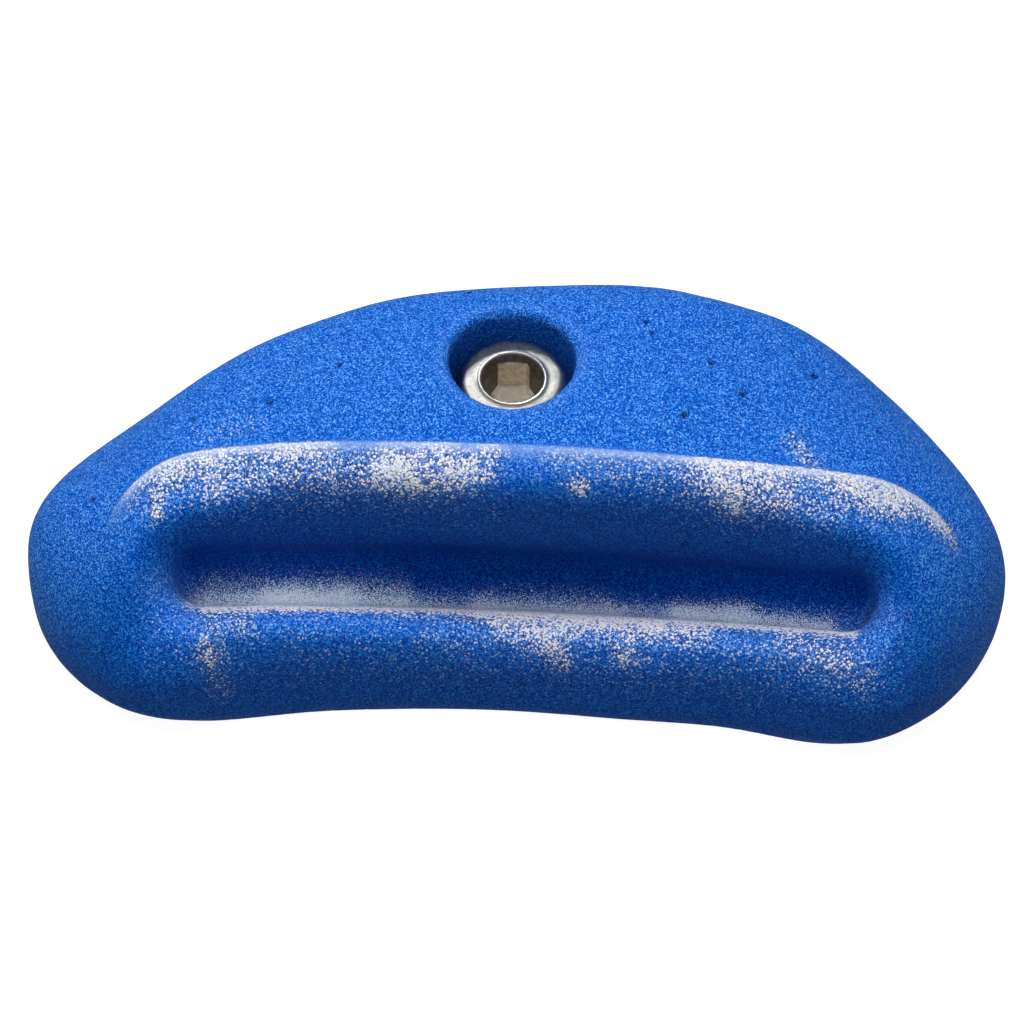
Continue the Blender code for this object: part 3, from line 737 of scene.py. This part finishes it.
    # painted shade: the gaps between chalk grains are darkened
    chalk_gap_shade = g.math("MULTIPLY", g.ramp(chalk, 0.1, 0.5), g.ramp(tone, 0.15, 0.60, 0.90, 0.0))
    blue = g.mix(chalk_gap_shade, blue, (0.006, 0.050, 0.24))
    colour = g.mix(film, blue, g.mix(packed, (0.40, 0.56, 0.95), (0.66, 0.76, 1.0)))
    dust = g.mix(g.ramp(patch, 0.35, 0.65), (1.0, 0.96, 0.97), (0.90, 0.91, 1.0))
    dust = g.mix(g.ramp(chalk, 0.05, 0.45, kind="LINEAR"), (0.36, 0.60, 1.0), dust)
    dust = g.mix(powder, dust, (0.80, 0.89, 1.0))
    colour = g.mix(cover, colour, dust)

    g.put(g.shader, "Base Color", colour)
    g.put(g.shader, "Roughness", g.ramp(cover, 0.0, 1.0, 0.66, 0.95, "LINEAR"))
    g.shader.inputs["Specular IOR Level"].default_value = 0.06
    calm = g.math("SUBTRACT", 1.0, g.math("MULTIPLY", g.math("MAXIMUM", recess, back), 0.5))
    raised = g.math("ADD", g.math("MULTIPLY", height, calm), g.math("MULTIPLY", cover, 0.16))
    g.put(g.shader, "Normal", g.bump(raised, 0.00028, 1.0))
    return g.material


def screw_material():
    """Bright stainless: a worn flat face, a polished edge around the socket painted as a bright highlight, a painted
    dark reflection on the head's rounded edge, and an oiled, brown socket with painted shade on its side walls and
    painted light on its far wall and floor.
    """
    g = Graph("stainless_bright")
    at = g.coordinates()
    split = g.new("ShaderNodeSeparateXYZ", Vector=at)
    x = g.math("SUBTRACT", split.outputs["X"], BOLT_X * MM)
    y = g.math("SUBTRACT", split.outputs["Y"], BOLT_Y * MM)
    radius = g.math("MULTIPLY", g.math("SQRT", g.math("ADD", g.math("MULTIPLY", x, x), g.math("MULTIPLY", y, y))), 1000.0)
    depth = g.math("MULTIPLY", g.math("SUBTRACT", (SHANK_LENGTH + HEAD_HEIGHT) * MM, split.outputs["Z"]), 1000.0)
    patch, fine = g.noise(at, 420.0, 3.0, 0.65, 0.5), g.noise(at, 2600.0, 2.0, 0.6)
    speck = g.noise(at, 1500.0, 2.0, 0.6, 0.3)

    near = g.ramp(radius, 4.95, 5.05, 1.0, 0.0)
    socket = g.math("MULTIPLY", near, g.ramp(depth, 0.14, 0.24))
    floor_painted_light = g.math("MULTIPLY", near, g.ramp(depth, SOCKET_DEPTH - 0.35, SOCKET_DEPTH - 0.05))
    socket_edge_highlight = g.math("MULTIPLY", g.math("MULTIPLY", near, g.ramp(radius, 4.30, 4.40)), g.ramp(depth, 0.16, 0.08, 0.0, 1.0))
    head_rim_painted_shade = g.math("MULTIPLY", g.ramp(radius, 7.0, 7.7), g.ramp(depth, 4.0, 2.0, 0.0, 1.0))

    face = g.mix(g.ramp(patch, 0.35, 0.65), (0.52, 0.53, 0.50), (0.72, 0.71, 0.67))
    face = g.mix(g.ramp(speck, 0.52, 0.68, 0.0, 0.45), face, (0.26, 0.27, 0.26))
    # painted dark reflection on the head's rounded outer edge
    face = g.mix(g.math("MULTIPLY", head_rim_painted_shade, 0.35), face, (0.25, 0.26, 0.28))
    # painted highlight: the edge around the socket is near-white
    face = g.mix(socket_edge_highlight, face, (0.96, 0.94, 0.88))
    # socket side walls: brown, kept dark as painted shade
    walls = g.mix(g.ramp(speck, 0.35, 0.65), (0.075, 0.060, 0.040), (0.13, 0.105, 0.075))
    far_wall_painted_light = g.math("MULTIPLY", g.ramp(y, 0.0026, 0.0031), g.ramp(g.math("ABSOLUTE", x), 0.0021, 0.0024, 1.0, 0.0))
    far_wall_painted_light = g.math("MULTIPLY", far_wall_painted_light, g.ramp(depth, 0.9, 1.3))
    # painted light: the socket's far wall is pale tan
    walls = g.mix(far_wall_painted_light, walls, g.mix(g.ramp(speck, 0.35, 0.65), (0.66, 0.55, 0.40), (0.88, 0.76, 0.58)))
    # painted light: the socket's floor is pale
    walls = g.mix(floor_painted_light, walls, g.mix(g.ramp(patch, 0.42, 0.58), (0.60, 0.54, 0.44), (0.86, 0.80, 0.70)))
    g.put(g.shader, "Base Color", g.mix(socket, face, walls))
    g.put(g.shader, "Metallic", g.ramp(socket, 0.0, 1.0, 1.0, 0.6, "LINEAR"))
    rough = g.ramp(g.math("ADD", g.math("MULTIPLY", patch, 0.6), g.math("MULTIPLY", fine, 0.4)), 0.3, 0.7, 0.32, 0.46)
    g.put(g.shader, "Roughness", g.math("MULTIPLY", rough, g.ramp(socket_edge_highlight, 0.0, 1.0, 1.0, 0.8, "LINEAR")))
    g.put(g.shader, "Normal", g.bump(g.math("ADD", fine, g.math("MULTIPLY", patch, 1.5)), 0.00003, 0.6))
    return g.material


def steel_material(name, colour, roughness, grain_scale):
    g = Graph(name)
    at = g.coordinates()
    patch = g.noise(at, 180.0, 3.0, 0.6, 0.4)
    fine = g.noise(at, grain_scale, 2.0, 0.6)
    shade = g.mix(g.ramp(patch, 0.3, 0.7), tuple(0.86 * c for c in colour), colour)
    g.put(g.shader, "Base Color", shade)
    g.shader.inputs["Metallic"].default_value = 1.0
    g.put(g.shader, "Roughness", g.ramp(g.math("ADD", g.math("MULTIPLY", patch, 0.6), g.math("MULTIPLY", fine, 0.4)), 0.3, 0.7, roughness - 0.06, roughness + 0.08))
    g.put(g.shader, "Normal", g.bump(fine, 0.00002, 0.5))
    return g.material


# --------------------------------------------------------------------------------------------------
# Screw, washer, load ring
# --------------------------------------------------------------------------------------------------
def screw_body():
    """Head and threaded shank as one turned grid, whose radius follows the thread and the knurl."""
    segments = 144
    top = SHANK_LENGTH + HEAD_HEIGHT
    thread_end = SHANK_LENGTH - 2.0
    rows = [(0.0, 0.0), (SHANK_RADIUS - TIP_CHAMFER, 0.0)]
    rows += [(SHANK_RADIUS, z) for z in np.arange(0.125, thread_end + 1.2, 0.125)]
    rows += [(SHANK_RADIUS, SHANK_LENGTH - 0.6), (SHANK_RADIUS + 0.06, SHANK_LENGTH - 0.3), (SHANK_RADIUS + 0.3, SHANK_LENGTH)]
    rows += [(HEAD_RADIUS - 0.55, SHANK_LENGTH), (HEAD_RADIUS - 0.16, SHANK_LENGTH + 0.12), (HEAD_RADIUS, SHANK_LENGTH + 0.5)]
    rows += [(HEAD_RADIUS, z) for z in np.linspace(SHANK_LENGTH + 1.0, top - HEAD_EDGE_HIGH - 0.5, 8)]
    rows += arc(HEAD_RADIUS - HEAD_EDGE_WIDE, top - HEAD_EDGE_HIGH, HEAD_EDGE_WIDE, HEAD_EDGE_HIGH, 0, 90, 10)
    rows += [(6.0, top), (5.4, top), (4.98, top)]
    rows += arc(4.69, top - 0.05, 0.27, 0.15, 45, 160, 5) + [(0.0, top + 0.001)]
    verts, faces, columns = [], [], []
    root = SHANK_RADIUS - THREAD_DEPTH
    for radius, z in rows:
        if radius < 1e-6:
            columns.append([len(verts)])
            verts.append((0.0, 0.0, z))
            continue
        columns.append(list(range(len(verts), len(verts) + segments)))
        for i in range(segments):
            a = 2 * math.pi * i / segments
            r = radius
            if 0.0 < z <= thread_end + 1.2 and abs(radius - SHANK_RADIUS) < 1e-6:
                phase = (z / THREAD_PITCH - a / (2 * math.pi)) % 1.0
                ridge = min(max((abs(phase - 0.5) - 0.07) / 0.36, 0.0), 1.0)
                fade = min(max((thread_end + 1.0 - z) / 1.4, 0.0), 1.0)
                r = SHANK_RADIUS - THREAD_DEPTH * ridge * fade
                r = min(r, SHANK_RADIUS - TIP_CHAMFER + z)
                r = max(r, 0.5)
            knurl = smooth(min((z - SHANK_LENGTH - 0.9) / 0.6, (top - HEAD_EDGE_HIGH - 0.3 - z) / 0.6))
            if knurl > 0 and z > SHANK_LENGTH:
                r -= 0.16 * float(knurl) * (0.5 + 0.5 * math.cos(72 * a)) ** 1.5
            verts.append((r * math.cos(a), r * math.sin(a), z))
    for low, high in zip(columns, columns[1:]):
        for i in range(segments):
            k = (i + 1) % segments
            corners = [low[i % len(low)], low[k % len(low)], high[k % len(high)], high[i % len(high)]]
            unique = list(dict.fromkeys(corners))
            if len(unique) > 2:
                faces.append(unique)
    data = mesh_from("screw_blank", [(x * MM, y * MM, z * MM) for x, y, z in verts], faces)
    return data, root


def socket_tool():
    """Hexagonal prism that cuts the socket; the cone that opens its mouth is the separate mouth_tool."""
    top = SHANK_LENGTH + HEAD_HEIGHT
    corner = SOCKET_FLATS / math.sqrt(3)
    prism_verts, faces = [], []
    for z in (top - SOCKET_DEPTH, top + 3.0):
        for i in range(6):
            a = SOCKET_TURN + i * math.pi / 3
            prism_verts.append((corner * math.cos(a) * MM, corner * math.sin(a) * MM, z * MM))
    faces.append(tuple(range(5, -1, -1)))
    faces.append(tuple(range(6, 12)))
    faces += [(i, (i + 1) % 6, 6 + (i + 1) % 6, 6 + i) for i in range(6)]
    return mesh_from("socket_tool", prism_verts, faces)


def mouth_tool():
    top = SHANK_LENGTH + HEAD_HEIGHT
    edge = SOCKET_CHAMFER_RADIUS
    return turned_mesh(
        "mouth_tool",
        [(0.0, top - 3.0), (2.4, top - 3.0), (edge - 0.30, top - 0.25), (edge - 0.22, top - 0.10), (edge - 0.22, top + 1.0), (0.0, top + 1.0)],
        144,
    )


def screw():
    data, _ = screw_body()
    blank = link("screw_blank", data)
    tools = [link("mouth_tool", mouth_tool()), link("socket_tool", socket_tool())]
    for tool in tools:
        modifier = blank.modifiers.new(tool.name, "BOOLEAN")
        modifier.operation, modifier.solver, modifier.object = "DIFFERENCE", "EXACT", tool
    made = evaluated_copy(blank, "screw")
    for thing in (blank, *tools):
        bpy.data.objects.remove(thing, do_unlink=True)
    made.name = "mounting_bolt_detail"
    made.transform(Matrix.Translation((BOLT_X * MM, BOLT_Y * MM, 0)))
    made.shade_smooth()
    made.set_sharp_from_angle(angle=math.radians(32))
    return made


def ring_profile(inner, outer, bottom, thick, low_edge, high_edge, bore_edge):
    top = bottom + thick
    return (
        [(inner, bottom + bore_edge), (inner + bore_edge, bottom)]
        + arc(outer - low_edge, bottom + low_edge, low_edge, low_edge, -90, 0, 4)
        + arc(outer - high_edge, top - high_edge, high_edge, high_edge, 0, 90, 6)
        + [(inner + bore_edge, top), (inner, top - bore_edge)]
    )


# --------------------------------------------------------------------------------------------------
# Build
# --------------------------------------------------------------------------------------------------
resin = resin_material()
stainless = screw_material()
washer_steel = steel_material("stainless_satin", (0.62, 0.62, 0.61), 0.34, 2200.0)
zinc = steel_material("zinc_plate", (0.56, 0.57, 0.56), 0.42, 1800.0)

cast = link("hold_body_cast", finish_surface(hold_body()))
cast.data.shade_smooth()
cast.data.set_sharp_from_angle(angle=math.radians(60))
cast.data.materials.append(resin)
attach(cast, "hold")
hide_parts("hold_body")

bolt = link("mounting_bolt_detail", screw())
bolt.data.materials.append(stainless)
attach(bolt, "bolt")
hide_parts("mounting_bolt")

washer = link(
    "flat_washer_detail",
    turned_mesh("flat_washer_detail", ring_profile(WASHER_INNER, WASHER_OUTER, SEAT_Z + GAP, WASHER_THICK, 0.1, 0.35, 0.12), 128, (BOLT_X, BOLT_Y)),
)
washer.data.shade_smooth()
washer.data.set_sharp_from_angle(angle=math.radians(40))
washer.data.materials.append(washer_steel)
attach(washer, "washer")
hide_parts("flat_washer")

ring = link(
    "seat_ring_detail",
    turned_mesh("seat_ring_detail", ring_profile(RING_INNER, RING_OUTER, SEAT_Z - RING_THICK, RING_THICK, 0.3, 0.3, 0.2), 128, (BOLT_X, BOLT_Y)),
)
ring.data.shade_smooth()
ring.data.set_sharp_from_angle(angle=math.radians(40))
ring.data.materials.append(zinc)
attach(ring, "hold")
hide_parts("seat_ring")

# --------------------------------------------------------------------------------------------------
# Floor, backdrop, lights, camera
# --------------------------------------------------------------------------------------------------
def plain(name, colour, glow, strength):
    g = Graph(name)
    g.shader.inputs["Base Color"].default_value = (*colour, 1.0)
    g.shader.inputs["Roughness"].default_value = 0.9
    g.shader.inputs["Specular IOR Level"].default_value = 0.0
    g.shader.inputs["Emission Color"].default_value = (*glow, 1.0)
    g.shader.inputs["Emission Strength"].default_value = strength
    return g.material


floor = link("floor", turned_mesh("floor", [(0.0, -1.0), (3000.0, -1.0), (3000.0, 0.0), (0.0, 0.0)], 96))
floor.data.materials.append(plain("pale_floor", (0.22, 0.22, 0.22), (1, 1, 1), 0.92))
floor.visible_diffuse = False

backdrop = link("backdrop", turned_mesh("backdrop", [(2900.0, 0.5), (2900.0, 2500.0), (0.0, 2500.0)][::-1], 96))
backdrop.data.materials.append(plain("pale_backdrop", (0.0, 0.0, 0.0), (1, 1, 1), 1.0))
backdrop.visible_diffuse = backdrop.visible_glossy = backdrop.visible_shadow = False

world = bpy.data.worlds.new("studio")
world.use_nodes = True
world.node_tree.nodes["Background"].inputs["Color"].default_value = (0.93, 0.96, 1.0, 1.0)
world.node_tree.nodes["Background"].inputs["Strength"].default_value = 0.155
bpy.context.scene.world = world


def area_light(name, at, towards, wide, high, power, shine=True, fill=True):
    data = bpy.data.lights.new(name, "AREA")
    data.shape, data.size, data.size_y = "RECTANGLE", wide, high
    data.energy = power
    lamp = link(name, data)
    lamp.location = at
    lamp.visible_glossy, lamp.visible_diffuse = shine, fill
    lamp.rotation_euler = (Vector(towards) - Vector(at)).to_track_quat("-Z", "Y").to_euler()
    return lamp


area_light("overhead", (-0.06, 0.03, 0.90), (0.0, 0.0, 0.02), 0.50, 0.50, 6.9, shine=False)
area_light("behind", (-0.39, 0.55, 0.72), (0.0, 0.0, 0.03), 0.16, 0.16, 2.0, shine=False)
area_light("glint", (-0.16, 0.80, 0.64), (0.0, 0.0, 0.03), 0.14, 0.14, 3.0, fill=False)
area_light("front", (0.05, -0.55, 0.75), (0.0, -0.02, 0.02), 0.20, 0.20, 1.6, shine=False)

camera = bpy.data.cameras.new("camera")
camera.sensor_width, camera.lens, camera.clip_start = 36.0, 149.98, 0.01
view = link("camera", camera)
azimuth, elevation, distance = math.radians(2.8), math.radians(53.0), 0.600
target = Vector((-0.00045, -0.0072, 0.0263))
back_ray = Vector((math.sin(azimuth) * math.cos(elevation), -math.cos(azimuth) * math.cos(elevation), math.sin(elevation)))
side = Vector((math.cos(azimuth), math.sin(azimuth), 0.0))
rise = back_ray.cross(side)
view.matrix_world = Matrix.Translation(target + back_ray * distance) @ Matrix((side, rise, back_ray)).transposed().to_4x4()
bpy.context.scene.camera = view

bpy.context.scene.view_settings.view_transform = "Standard"
bpy.context.scene.view_settings.look = "None"
